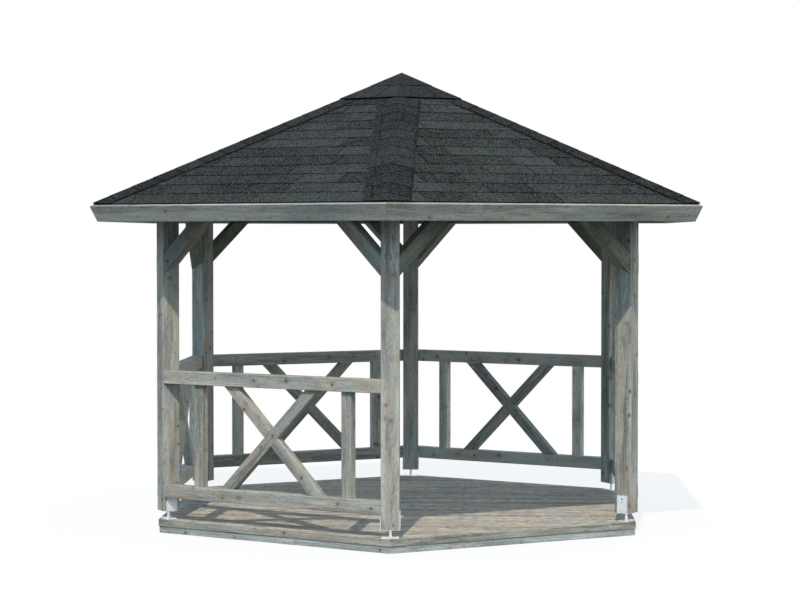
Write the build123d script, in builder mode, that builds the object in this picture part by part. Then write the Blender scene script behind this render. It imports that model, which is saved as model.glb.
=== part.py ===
"""Hexagonal garden gazebo: a low boarded deck, six square posts on steel shoes,
cross-braced railings on five sides, an open entrance and a shingled pyramid roof.

The frame is +Z up with the origin on the ground under the middle of the deck, in
millimetres.  The open side faces -Y, so the posts stand at 0, 60 ... 300 degrees and
the middles of the sides lie at 30, 90 ... 330 degrees.
"""
from math import cos, radians, sin, sqrt, tan
import os

from build123d import *

os.makedirs("parts", exist_ok=True)

# Layout ------------------------------------------------------------------------
CORNERS = {
    "right": 0,
    "back_right": 60,
    "back_left": 120,
    "left": 180,
    "front_left": 240,
    "front_right": 300,
}
SIDES = {
    "right_back": 30,
    "back": 90,
    "left_back": 150,
    "left_front": 210,
    "front": 270,
    "right_front": 330,
}
ENTRANCE = "front"
RAILED = [side for side in SIDES if side != ENTRANCE]
HALF_SIDE = 180 / len(SIDES)  # angle from the middle of a side to its corner

# Deck --------------------------------------------------------------------------
deck_margin = 15.0  # outer face of a post to the corner of the edge boards
joist_height = 66.0
joist_width = 45.0
joist_spacing = 450.0
deck_board_thickness = 28.0
deck_board_width = 120.0
deck_board_gap = 5.0
edge_board_thickness = 26.0
edge_board_height = 48.0
skirt_thickness = 20.0
board_angle = 60.0  # degrees; the deck boards lie square to the line through this corner
mitre_gap = 0.6  # hairline left open where two boards meet at a mitre

# Posts and shoes ---------------------------------------------------------------
post_size = 120.0
post_circle = 1825.0  # centre of the gazebo to the middle of a post
post_chamfer = 3.0
post_lift = 59.0  # deck to the foot of a post
shoe_thickness = 5.0
shoe_width = 75.0
shoe_height = 125.0
shoe_rod_diameter = 20.0
shoe_foot_length = 116.0  # across the post; the plate is as wide as the cheeks
shoe_foot_thickness = 6.0
nail_hole_diameter = 5.0
nail_hole_facets = 8  # each hole is drawn with this many flats
nail_hole_rows = 2
nail_hole_columns = 3
nail_hole_pitch = 23.0
nail_hole_column_pitch = 24.0
nail_hole_top = 23.0  # top of a shoe cheek to its highest nail hole

# Head room and wall plates -----------------------------------------------------
head_room = 2061.0  # deck to the underside of the wall plates
plate_thickness = 60.0
plate_height = 180.0

# Railings ----------------------------------------------------------------------
rail_thickness = 90.0
rail_height = 90.0
rail_top = 1031.0  # deck to the top of the top rail
bottom_rail_lift = 153.0  # deck to the underside of the bottom rail
timber_chamfer = 3.0
infill_thickness = 60.0  # uprights and arms
infill_setback = 22.0  # outer face of the rails to the outer face of the infill
upright_width = 76.0
upright_offset = 606.0  # middle of the side to the middle of an upright
arm_width = 75.0
arm_crossing = 608.0  # deck to the middle of the cross
shoe_clearance = 0.5  # play of a bottom rail around a shoe cheek

# Knee braces -------------------------------------------------------------------
brace_width = 90.0
brace_depth = 96.0
brace_leg = 365.0  # reach along the post and along the wall plate

# Roof --------------------------------------------------------------------------
roof_angle = 25.0  # degrees
eave_overhang = 507.0  # outer face of a post to the top outer corner of the fascia
rafter_seat = 19.0  # depth of a rafter's notch over the wall plate
fascia_thickness = 24.0
fascia_width = 115.0
roof_board_thickness = 20.0
shingle_thickness = 8.0
hip_cap_width = 250.0
hip_cap_thickness = 8.0
roof_cap_radius = 495.0
roof_cap_thickness = 12.0
hip_rafter_width = 60.0
rafter_width = 45.0
hub_apothem = 130.0
hub_drop = 80.0  # how far the hub hangs below the rafters

# Values that follow from the sizes above ---------------------------------------
deck_top = joist_height + deck_board_thickness
skirt_height = deck_top - edge_board_height
post_bottom = deck_top + post_lift
plate_bottom = deck_top + head_room
plate_top = plate_bottom + plate_height
half_post = post_size / 2
deck_radius = post_circle + half_post + deck_margin  # centre to a corner of the edge boards
eave_radius = post_circle + half_post + eave_overhang  # centre to a top corner of the fascia

# The outer faces of rails, plates and braces run through the posts' outer corners.
wall_face = (post_circle + half_post) * cos(radians(HALF_SIDE)) + half_post * sin(radians(HALF_SIDE))

top_rail_bottom = deck_top + rail_top - rail_height
bottom_rail_bottom = deck_top + bottom_rail_lift
bottom_rail_top = bottom_rail_bottom + rail_height

deck_apothem = deck_radius * cos(radians(HALF_SIDE))
far = 2 * eave_radius  # longer than any piece, for cutting tools


def rise(thickness: float) -> float:
    """Height that a layer of this thickness takes up, measured plumb through the roof."""
    return thickness / cos(radians(roof_angle))


# Each peak is the height at which six roof planes meet over the middle.
roof_slope = tan(radians(roof_angle))
hip_slope = roof_slope * cos(radians(HALF_SIDE))
rafter_depth = fascia_width - roof_board_thickness
rafter_foot_peak = plate_top - rafter_seat + wall_face * roof_slope
rafter_peak = rafter_foot_peak + rise(rafter_depth)
board_peak = rafter_peak + rise(roof_board_thickness)
shingle_peak = board_peak + rise(shingle_thickness)
eave_apothem = eave_radius * cos(radians(HALF_SIDE))
eave_height = board_peak - eave_apothem * roof_slope  # top outer edge of the fascia
post_top = rafter_foot_peak - post_circle * hip_slope


def plan_axes(angle: float, height: float = 0.0) -> Plane:
    """Level plane with local x pointing outward at this angle and y running anticlockwise."""
    return Plane(origin=(0, 0, height), x_dir=(cos(radians(angle)), sin(radians(angle)), 0), z_dir=(0, 0, 1))


def radial_plane(angle: float) -> Plane:
    """Upright plane through the middle, with local x pointing outward and local y up."""
    direction = radians(angle)
    outward = (cos(direction), sin(direction), 0)
    return Plane(origin=(0, 0, 0), x_dir=outward, z_dir=(sin(direction), -cos(direction), 0))


def side_elevation(side: str, distance: float) -> Plane:
    """Upright plane along a side, seen from outside: local x runs anticlockwise, y is up."""
    direction = radians(SIDES[side])
    outward = Vector(cos(direction), sin(direction), 0)
    return Plane(origin=outward * distance, x_dir=(-sin(direction), cos(direction), 0), z_dir=outward)


def bay_reach(distance: float) -> float:
    """From the middle of a side to the face of a post, at this distance from the centre."""
    return distance * tan(radians(HALF_SIDE)) - half_post / cos(radians(HALF_SIDE))


def bay_block(side: str, thickness: float, bottom: float, height: float) -> Part:
    """Timber that fills a bay from post to post, its outer face in the wall face."""
    inner = wall_face - thickness
    with BuildPart() as block:
        with BuildSketch(plan_axes(SIDES[side], bottom)):
            Polygon(
                (inner, -bay_reach(inner)),
                (wall_face, -bay_reach(wall_face)),
                (wall_face, bay_reach(wall_face)),
                (inner, bay_reach(inner)),
                align=None,
            )
        extrude(amount=height)
    return block.part


def along(side: str) -> Axis:
    """Direction in which a side runs."""
    direction = radians(SIDES[side])
    return Axis((0, 0, 0), (-sin(direction), cos(direction), 0))


def bay_timber(side: str, thickness: float, bottom: float, height: float) -> Part:
    """Rail or plate between two posts with its long edges eased."""
    with BuildPart() as timber:
        add(bay_block(side, thickness, bottom, height))
        chamfer(timber.edges().filter_by(along(side)), timber_chamfer)
    return timber.part


def mitred_board(side: str, section: list[tuple]) -> Part:
    """Board of this section along one side, mitred at both corners."""
    with BuildPart() as board:
        with BuildSketch(radial_plane(SIDES[side])):
            Polygon(*section, align=None)
        extrude(amount=far / 2, both=True)
        with BuildSketch(plan_axes(SIDES[side])):
            Polygon(
                (mitre_gap, 0),
                (far, -(far - mitre_gap) * tan(radians(HALF_SIDE))),
                (far, (far - mitre_gap) * tan(radians(HALF_SIDE))),
                align=None,
            )
        extrude(amount=far, mode=Mode.INTERSECT)
    return board.part


def upright_section(outer: float, thickness: float, bottom: float, height: float) -> list[tuple]:
    """Corners of an upright board section, as distance from the centre and height."""
    return [
        (outer - thickness, bottom),
        (outer, bottom),
        (outer, bottom + height),
        (outer - thickness, bottom + height),
    ]


def hexagon_prism(apothem: float, bottom: float, height: float) -> Part:
    """Level hexagonal block with its corners over the posts."""
    with BuildPart() as block:
        with BuildSketch(Plane.XY.offset(bottom)):
            RegularPolygon(radius=apothem / cos(radians(HALF_SIDE)), side_count=len(SIDES))
        extrude(amount=height)
    return block.part


def crossed_prisms(half_bottom: float, half_top: float, height: float) -> Part:
    """Six-sided block with leaning faces, from half its width at the ground and at a height.

    Each pair of opposite faces belongs to one prism; the three prisms cross at 60 degrees.
    """
    with BuildPart() as body:
        for number, side in enumerate(list(SIDES)[: len(SIDES) // 2]):
            with BuildSketch(radial_plane(SIDES[side])):
                with BuildLine():
                    outline = [(half_bottom, 0), (half_top, height), (-half_top, height), (-half_bottom, 0)]
                    Polyline(*dict.fromkeys(outline), close=True)
                make_face()
            extrude(amount=far, both=True, mode=Mode.INTERSECT if number else Mode.ADD)
    return body.part


def pyramid(peak: float) -> Part:
    """Everything under six roof planes that meet at this peak, down to the ground."""
    return crossed_prisms(peak / roof_slope, 0, peak)


def eave_point(down: float, out: float) -> tuple[float, float]:
    """Point at the eave, as distance from the centre and height.

    down is measured down the slope from the fascia's outer face and out square to the
    slope from the top of the boarding.
    """
    pitch = radians(roof_angle)
    return (
        eave_apothem + down * cos(pitch) + out * sin(pitch),
        eave_height - down * sin(pitch) + out * cos(pitch),
    )


def save(builder: BuildPart, name: str) -> None:
    """Label a finished sub-part and write it out."""
    builder.part.label = name
    export_step(builder.part, f"parts/{name}.step")


# Deck frame: mitred rim joists, and joists that run across inside them -------------
rim_apothem = deck_apothem - edge_board_thickness
joist_count = int(2 * rim_apothem // joist_spacing)

rim_ring = [mitred_board(side, upright_section(rim_apothem, joist_width, 0, joist_height)) for side in SIDES]
with BuildPart() as rim_joists:
    add(rim_ring)
save(rim_joists, "rim_joists")

with BuildPart() as joists:
    with BuildSketch(plan_axes(board_angle)):
        with GridLocations(1, joist_spacing, 1, joist_count):
            Rectangle(2 * deck_radius, joist_width)
        RegularPolygon(
            radius=(rim_apothem - joist_width) / cos(radians(HALF_SIDE)),
            side_count=len(SIDES),
            mode=Mode.INTERSECT,
        )
    extrude(amount=joist_height)
save(joists, "joists")

# Skirt and edge boards: two mitred rings around the deck, the upper one proud -----
skirt_ring = [
    mitred_board(side, upright_section(rim_apothem + skirt_thickness, skirt_thickness, 0, skirt_height))
    for side in SIDES
]
with BuildPart() as skirt_boards:
    add(skirt_ring)
save(skirt_boards, "skirt_boards")

edge_ring = [
    mitred_board(side, upright_section(deck_apothem, edge_board_thickness, skirt_height, edge_board_height))
    for side in SIDES
]
with BuildPart() as edge_boards:
    add(edge_ring)
save(edge_boards, "edge_boards")

# Deck boards: cut to the hexagon inside the edge boards ---------------------------
board_pitch = deck_board_width + deck_board_gap
board_count = int(2 * deck_radius // board_pitch)

with BuildPart() as deck_boards:
    with BuildSketch(plan_axes(board_angle, joist_height)):
        with GridLocations(board_pitch, 1, board_count, 1):
            Rectangle(deck_board_width, 2 * deck_radius)
        RegularPolygon(
            radius=rim_apothem / cos(radians(HALF_SIDE)), side_count=len(SIDES), mode=Mode.INTERSECT
        )
    extrude(amount=deck_board_thickness)
save(deck_boards, "deck_boards")

# Post shoes: foot plate, threaded rod and a forked bracket, welded together -------
cheek_outer = half_post + shoe_thickness
cheek_bottom = post_bottom - shoe_thickness
cheek_top = cheek_bottom + shoe_height
hole_middle = cheek_top - nail_hole_top - (nail_hole_rows - 1) * nail_hole_pitch / 2


def post_shoe(angle: float) -> Part:
    """One shoe, its fork cheeks on the two faces of the post beside the railings."""
    side_face = Plane(
        origin=(post_circle * cos(radians(angle)), post_circle * sin(radians(angle)), hole_middle),
        x_dir=(cos(radians(angle)), sin(radians(angle)), 0),
        z_dir=(sin(radians(angle)), -cos(radians(angle)), 0),
    )
    with BuildPart() as shoe:
        with BuildSketch(plan_axes(angle, deck_top)):
            with Locations((post_circle, 0)):
                Rectangle(shoe_width, shoe_foot_length)
        extrude(amount=shoe_foot_thickness)
        with BuildSketch(plan_axes(angle, deck_top)):
            with Locations((post_circle, 0)):
                Circle(shoe_rod_diameter / 2)
        extrude(amount=cheek_bottom - deck_top)
        with BuildSketch(plan_axes(angle, cheek_bottom)):
            with Locations((post_circle, 0)):
                Rectangle(shoe_width, 2 * cheek_outer)
        extrude(amount=shoe_height)
        with BuildSketch(plan_axes(angle, post_bottom)):
            with Locations((post_circle, 0)):
                Rectangle(post_size, post_size)
        extrude(amount=shoe_height, mode=Mode.SUBTRACT)
        with BuildSketch(side_face):
            with GridLocations(nail_hole_column_pitch, nail_hole_pitch, nail_hole_columns, nail_hole_rows):
                RegularPolygon(radius=nail_hole_diameter / 2, side_count=nail_hole_facets)
        extrude(amount=post_size, both=True, mode=Mode.SUBTRACT)
    return shoe.part


shoes = [post_shoe(angle) for angle in CORNERS.values()]
with BuildPart() as post_shoes:
    add(shoes)
save(post_shoes, "post_shoes")

# Posts: square timber turned to face the centre, up to the hip rafters ------------
for corner, angle in CORNERS.items():
    with BuildPart() as post:
        with BuildSketch(plan_axes(angle, post_bottom)):
            with Locations((post_circle, 0)):
                Rectangle(post_size, post_size)
        extrude(amount=post_top - post_bottom)
        chamfer(post.edges().filter_by(Axis.Z), post_chamfer)
    save(post, f"post_{corner}")

# Wall plates: one between each pair of posts --------------------------------------
plates = [bay_timber(side, plate_thickness, plate_bottom, plate_height) for side in SIDES]
with BuildPart() as wall_plates:
    add(plates)
save(wall_plates, "wall_plates")

# Knee braces: two under each plate, cut square to the plate and flat on the post ---
reach = bay_reach(wall_face)
brace_run = brace_width * sqrt(2)

for side in SIDES:
    bay = bay_block(side, brace_depth, plate_bottom - brace_leg, brace_leg)
    with BuildPart() as knee_braces:
        with BuildSketch(side_elevation(side, wall_face)) as brace_pair:
            Polygon(
                (reach - brace_leg, plate_bottom),
                (reach, plate_bottom - brace_leg),
                (reach, plate_bottom - brace_leg + brace_run),
                (reach - brace_leg + brace_run, plate_bottom),
                align=None,
            )
            mirror(about=Plane.YZ)
        extrude(amount=-brace_depth)
        add(bay, mode=Mode.INTERSECT)
    save(knee_braces, f"knee_braces_{side}")

# Railings: two rails, two uprights, one arm right across and one in two halves -----
arm_run = arm_width / sqrt(2)  # half of an arm's width measured level
crossing = deck_top + arm_crossing
rise_above = top_rail_bottom - crossing
drop_below = crossing - bottom_rail_top
cheek_pocket = shoe_thickness + shoe_clearance
pocket_reach = shoe_width / 2 + shoe_clearance
infill_face = wall_face - infill_setback

with BuildPart() as cheek_pockets:
    for angle in CORNERS.values():
        with BuildSketch(plan_axes(angle, cheek_bottom)):
            with Locations((post_circle + pocket_reach, 0)):
                Rectangle(
                    pocket_reach + half_post, post_size + 2 * cheek_pocket, align=(Align.MAX, Align.CENTER)
                )
        extrude(amount=shoe_height + shoe_clearance)

for side in RAILED:
    top_rail = bay_timber(side, rail_thickness, top_rail_bottom, rail_height)
    bottom_rail = bay_timber(side, rail_thickness, bottom_rail_bottom, rail_height)
    with BuildPart() as rails:
        add([top_rail, bottom_rail])
        add(cheek_pockets.part, mode=Mode.SUBTRACT)
    save(rails, f"rails_{side}")

    with BuildPart() as uprights:
        with BuildSketch(plan_axes(SIDES[side], bottom_rail_top)):
            with Locations((infill_face - infill_thickness / 2, 0)):
                with GridLocations(1, 2 * upright_offset, 1, 2):
                    Rectangle(infill_thickness, upright_width)
        extrude(amount=top_rail_bottom - bottom_rail_top)
        chamfer(uprights.edges().filter_by(Axis.Z), timber_chamfer)
    save(uprights, f"uprights_{side}")

    with BuildPart() as cross_arm:
        with BuildSketch(side_elevation(side, infill_face)):
            Polygon(
                (-drop_below - arm_run, bottom_rail_top),
                (-drop_below + arm_run, bottom_rail_top),
                (rise_above + arm_run, top_rail_bottom),
                (rise_above - arm_run, top_rail_bottom),
                align=None,
            )
        extrude(amount=-infill_thickness)
    save(cross_arm, f"cross_arm_{side}")

    with BuildPart() as half_arms:
        with BuildSketch(side_elevation(side, infill_face)):
            Polygon(
                (-rise_above - arm_run, top_rail_bottom),
                (-rise_above + arm_run, top_rail_bottom),
                (0, crossing + arm_run),
                (-arm_run, crossing),
                align=None,
            )
            Polygon(
                (drop_below - arm_run, bottom_rail_top),
                (drop_below + arm_run, bottom_rail_top),
                (arm_run, crossing),
                (0, crossing - arm_run),
                align=None,
            )
        extrude(amount=-infill_thickness)
    save(half_arms, f"half_arms_{side}")

# Roof carcass: a twelve-sided hub, hip rafters over the posts, rafters between -----
hub_top = rafter_peak - hub_apothem * roof_slope
hub_bottom = rafter_foot_peak - hub_apothem * roof_slope - hub_drop
hub_sides = len(CORNERS) + len(SIDES)

with BuildPart() as roof_hub:
    with BuildSketch(Plane.XY.offset(hub_bottom)):
        RegularPolygon(
            radius=hub_apothem, side_count=hub_sides, major_radius=False, rotation=180 / hub_sides
        )
    extrude(amount=hub_top - hub_bottom)
save(roof_hub, "roof_hub")

# Everything that stops against the backs of the fascia boards lies inside this block.
fascia_back, fascia_back_height = eave_point(-fascia_thickness, 0)
lean = tan(radians(roof_angle))
within_fascia = crossed_prisms(
    fascia_back - fascia_back_height * lean, fascia_back + fascia_back_height * lean, 2 * fascia_back_height
)
under_boards = pyramid(rafter_peak)


def rafter(angle: float, width: float, slope: float, seat_end: float, seat_height: float) -> Part:
    """Rafter from the hub to the fascia, notched over what it sits on."""
    with BuildPart() as timber:
        with BuildSketch(radial_plane(angle)):
            Polygon(
                (hub_apothem, rafter_foot_peak - hub_apothem * slope),
                (eave_radius, rafter_foot_peak - eave_radius * slope),
                (eave_radius, rafter_peak),
                (hub_apothem, rafter_peak),
                align=None,
            )
            Rectangle(seat_end, seat_height, align=(Align.MIN, Align.MIN), mode=Mode.SUBTRACT)
        extrude(amount=width / 2, both=True)
        add(under_boards, mode=Mode.INTERSECT)
        add(within_fascia, mode=Mode.INTERSECT)
    return timber.part


hips = [
    rafter(angle, hip_rafter_width, hip_slope, post_circle + half_post, post_top)
    for angle in CORNERS.values()
]
with BuildPart() as hip_rafters:
    add(hips)
save(hip_rafters, "hip_rafters")

commons = [rafter(angle, rafter_width, roof_slope, wall_face, plate_top) for angle in SIDES.values()]
with BuildPart() as rafters:
    add(commons)
save(rafters, "rafters")

# Fascia: boards square to the slope, leaning out at the top, mitred at the hips ----
fascia_section = [
    eave_point(-fascia_thickness, -fascia_width),
    eave_point(0, -fascia_width),
    eave_point(0, 0),
    eave_point(-fascia_thickness, 0),
]
fascia_ring = [mitred_board(side, fascia_section) for side in SIDES]
with BuildPart() as fascia_boards:
    add(fascia_ring)
save(fascia_boards, "fascia_boards")

# Boarding: one triangle on each roof face, its top flush with the top of the fascia -
boarding_section = [
    (0, rafter_peak),
    eave_point(-fascia_thickness, -roof_board_thickness),
    eave_point(-fascia_thickness, 0),
    (0, board_peak),
]
boarding = [mitred_board(side, boarding_section) for side in SIDES]
with BuildPart() as roof_boards:
    add(boarding)
save(roof_boards, "roof_boards")

# Shingles: one skin over the boarding, stopped at the back of the fascia -----------
boarding_block = pyramid(board_peak)
shingle_block = pyramid(shingle_peak)

with BuildPart() as shingles:
    add(shingle_block)
    add(within_fascia, mode=Mode.INTERSECT)
    add(boarding_block, mode=Mode.SUBTRACT)
save(shingles, "shingles")

# Roof cap: a small pyramid over the peak; hip caps run from its edge to the eave ---
cap_edge = hexagon_prism(roof_cap_radius * cos(radians(HALF_SIDE)), 0, far)

with BuildPart() as roof_cap:
    add(pyramid(shingle_peak + rise(roof_cap_thickness)))
    add(cap_edge, mode=Mode.INTERSECT)
    add(shingle_block, mode=Mode.SUBTRACT)
save(roof_cap, "roof_cap")

hip_cap_block = pyramid(shingle_peak + rise(hip_cap_thickness))
with BuildPart() as hip_caps:
    with BuildSketch():
        with PolarLocations(0, len(CORNERS)):
            Rectangle(eave_radius, hip_cap_width, align=(Align.MIN, Align.CENTER))
    extrude(amount=far)
    add(hip_cap_block, mode=Mode.INTERSECT)
    add(within_fascia, mode=Mode.INTERSECT)
    add(shingle_block, mode=Mode.SUBTRACT)
    add(cap_edge, mode=Mode.SUBTRACT)
save(hip_caps, "hip_caps")
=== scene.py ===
"""Looks of the hexagonal garden gazebo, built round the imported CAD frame.

Lengths are metres, in the frame of the CAD: +Z up, the origin on the ground under the
middle of the deck, the open side facing -Y.  Timber pieces are the CAD solids with eased
edges and a grain of their own; the roof covering, the boarding under it and the fixings
are modelled here.
"""
from math import atan2, cos, hypot, pi, radians, sin, tan
from random import Random

import bmesh
import bpy
from mathutils import Matrix, Vector


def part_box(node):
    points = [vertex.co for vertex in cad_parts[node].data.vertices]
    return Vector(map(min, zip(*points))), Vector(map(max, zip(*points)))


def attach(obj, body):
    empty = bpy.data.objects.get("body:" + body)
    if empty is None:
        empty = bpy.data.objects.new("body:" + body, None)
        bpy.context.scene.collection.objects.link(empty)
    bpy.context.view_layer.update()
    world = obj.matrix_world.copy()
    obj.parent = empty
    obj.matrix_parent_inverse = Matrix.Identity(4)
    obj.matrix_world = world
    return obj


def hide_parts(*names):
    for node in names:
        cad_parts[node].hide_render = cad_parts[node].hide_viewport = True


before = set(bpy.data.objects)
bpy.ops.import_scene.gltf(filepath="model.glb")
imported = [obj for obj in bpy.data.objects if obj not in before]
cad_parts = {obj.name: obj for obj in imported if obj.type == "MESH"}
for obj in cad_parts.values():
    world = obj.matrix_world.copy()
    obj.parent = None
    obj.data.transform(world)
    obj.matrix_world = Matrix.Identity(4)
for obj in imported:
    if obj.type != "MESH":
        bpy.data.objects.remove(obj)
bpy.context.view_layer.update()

# Layout --------
CORNERS = {"right": 0, "back_right": 60, "back_left": 120, "left": 180, "front_left": 240, "front_right": 300}
SIDES = {"right_back": 30, "back": 90, "left_back": 150, "left_front": 210, "front": 270, "right_front": 330}
RAILED = [side for side in SIDES if side != "front"]
HALF_SIDE = radians(30)
UP = Vector((0, 0, 1))

# Roof --------
ROOF_ANGLE = radians(25)
TAPER = cos(ROOF_ANGLE) * tan(HALF_SIDE)  # what each end of a roof face loses per metre up the slope
HIP_STRETCH = hypot(1, TAPER)  # metres along a hip per metre up the slope
FASCIA_THICKNESS = 0.024
BOARD_THICKNESS = 0.020
SKIN = 0.008  # the shingles over the boarding
HIP_CAP_RISE = 0.008  # the hip caps over the shingles
CAP_RISE = 0.012  # the roof cap over the shingles

eave_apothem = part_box("fascia_boards")[1].y
shingle_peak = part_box("shingles")[1].z
board_peak = shingle_peak - SKIN / cos(ROOF_ANGLE)
eave_height = board_peak - eave_apothem * tan(ROOF_ANGLE)
cap_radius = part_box("roof_cap")[1].x
slope_length = eave_apothem / cos(ROOF_ANGLE)
cap_edge = (eave_apothem - cap_radius * cos(HALF_SIDE)) / cos(ROOF_ANGLE)


def level(angle):
    """Level unit vector at this angle in degrees."""
    return Vector((cos(radians(angle)), sin(radians(angle)), 0))


# Node trees --------
class Recipe:
    """A material whose nodes are added with short calls."""

    def __init__(self, name, **sockets):
        self.material = bpy.data.materials.new(name)
        self.material.use_nodes = True
        self.tree = self.material.node_tree
        self.shader = self.tree.nodes["Principled BSDF"]
        for key, value in sockets.items():
            self.shader.inputs[key.replace("_", " ")].default_value = value

    def feed(self, socket, value):
        if isinstance(value, bpy.types.NodeSocket):
            self.tree.links.new(value, socket)
        else:
            socket.default_value = value

    def add(self, kind, inputs, output=0, **settings):
        node = self.tree.nodes.new("ShaderNode" + kind)
        for key, value in settings.items():
            setattr(node, key, value)
        for key, value in inputs.items():
            self.feed(node.inputs[key], value)
        return node.outputs[output]

    def attribute(self, name, output="Fac"):
        return self.add("Attribute", {}, output, attribute_name=name)

    def math(self, operation, a, b=0.0, clamp=False):
        return self.add("Math", {0: a, 1: b}, operation=operation, use_clamp=clamp)

    def plus(self, a, b):
        return self.math("ADD", a, b)

    def minus(self, a, b):
        return self.math("SUBTRACT", a, b)

    def times(self, a, b):
        return self.math("MULTIPLY", a, b)

    def vector(self, operation, a, b=(0, 0, 0)):
        output = "Value" if operation == "LENGTH" else "Vector"
        return self.add("VectorMath", {0: a, 1: b}, output, operation=operation)

    def split(self, vector):
        node = self.tree.nodes.new("ShaderNodeSeparateXYZ")
        self.feed(node.inputs[0], vector)
        return node.outputs

    def noise(self, vector, scale=1.0, detail=2.0, roughness=0.5, output="Fac"):
        inputs = {"Vector": vector, "Scale": scale, "Detail": detail, "Roughness": roughness}
        return self.add("TexNoise", inputs, output)

    def cells(self, vector, scale, randomness=1.0):
        """The outputs of a cell texture: the nearest cell's distance, colour and position."""
        inputs = {"Vector": vector, "Scale": scale, "Randomness": randomness}
        return self.add("TexVoronoi", inputs).node.outputs

    def stretched(self, vector, along, across):
        """The vector scaled for streaks that run along its first axis."""
        return self.vector("MULTIPLY", vector, (along, across, across))

    def between(self, value, low, high):
        """0 below low, 1 above high and smooth between; low may be the larger."""
        inputs = {"Value": value, "From Min": low, "From Max": high}
        return self.add("MapRange", inputs, interpolation_type="SMOOTHSTEP")

    def swing(self, value, size):
        """A value round 0.5 as one round 0, times this size."""
        return self.times(self.minus(value, 0.5), size)

    def blend(self, factor, a, b, mode="MIX"):
        colours = {0: factor, 6: a, 7: b}
        return self.add("Mix", colours, 2, data_type="RGBA", blend_type=mode)

    def stain(self, colour, mask, share, other):
        """The colour with this share of another one where the mask is 1."""
        return self.blend(self.times(mask, share), colour, other)

    def finish(self, colour, roughness, height):
        """Wires up the shader; height is in millimetres."""
        self.feed(self.shader.inputs["Base Color"], colour)
        self.feed(self.shader.inputs["Roughness"], roughness)
        bump = self.add("Bump", {"Height": height, "Distance": 0.001, "Strength": 1.0})
        self.feed(self.shader.inputs["Normal"], bump)
        return self.material


def rgb(*levels):
    """A colour from its 0-255 display levels, as the linear value that a socket takes."""
    return tuple(((v / 255 + 0.055) / 1.055) ** 2.4 for v in levels) + (1.0,)


# Timber --------
FIBRE_SWAY = (0, 0.022, 0.022)
KNOT_CELL = (0.13, 0.055, 0.055)  # the room that holds one knot at most
KNOT_LEAST = 0.003
KNOT_SPREAD = 0.010
KNOT = rgb(72, 67, 61)
KNOT_CORE = rgb(44, 40, 37)
KNOT_HALO = rgb(98, 92, 84)
BARE_WOOD = rgb(178, 146, 128)
DEEP_CHECK = rgb(58, 58, 54)


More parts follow.
